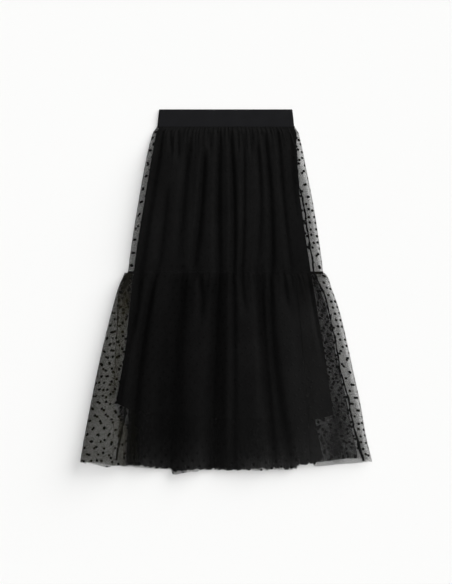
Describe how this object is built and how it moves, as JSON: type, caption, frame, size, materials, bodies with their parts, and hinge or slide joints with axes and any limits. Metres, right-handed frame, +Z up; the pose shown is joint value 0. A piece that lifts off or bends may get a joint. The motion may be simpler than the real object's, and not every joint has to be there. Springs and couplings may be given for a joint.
{
  "type": "tulle skirt",
  "caption": "Black two-tier midi skirt of sheer dotted tulle over a shorter opaque lining, with a wide plain elastic waistband, laid flat face up.",
  "frame": {"origin": "on the table under the middle of the skirt, the bottom centre of its box", "axes": "+Y towards the waistband, +Z up from the table, +X to the right as the front is seen from above"},
  "size_m": [0.6559, 0.8238, 0.0305],
  "materials": {
    "elastic": "matte",
    "net": "matte",
    "lining": "satin"
  },
  "bodies": {
    "root": {"waistband": "elastic", "upper_front": "net", "upper_back": "net", "lower_front": "net", "lower_back": "net", "lining_front": "lining", "lining_back": "lining", "flounce_front": "net", "flounce_back": "net"}
  },
  "joints": []
}
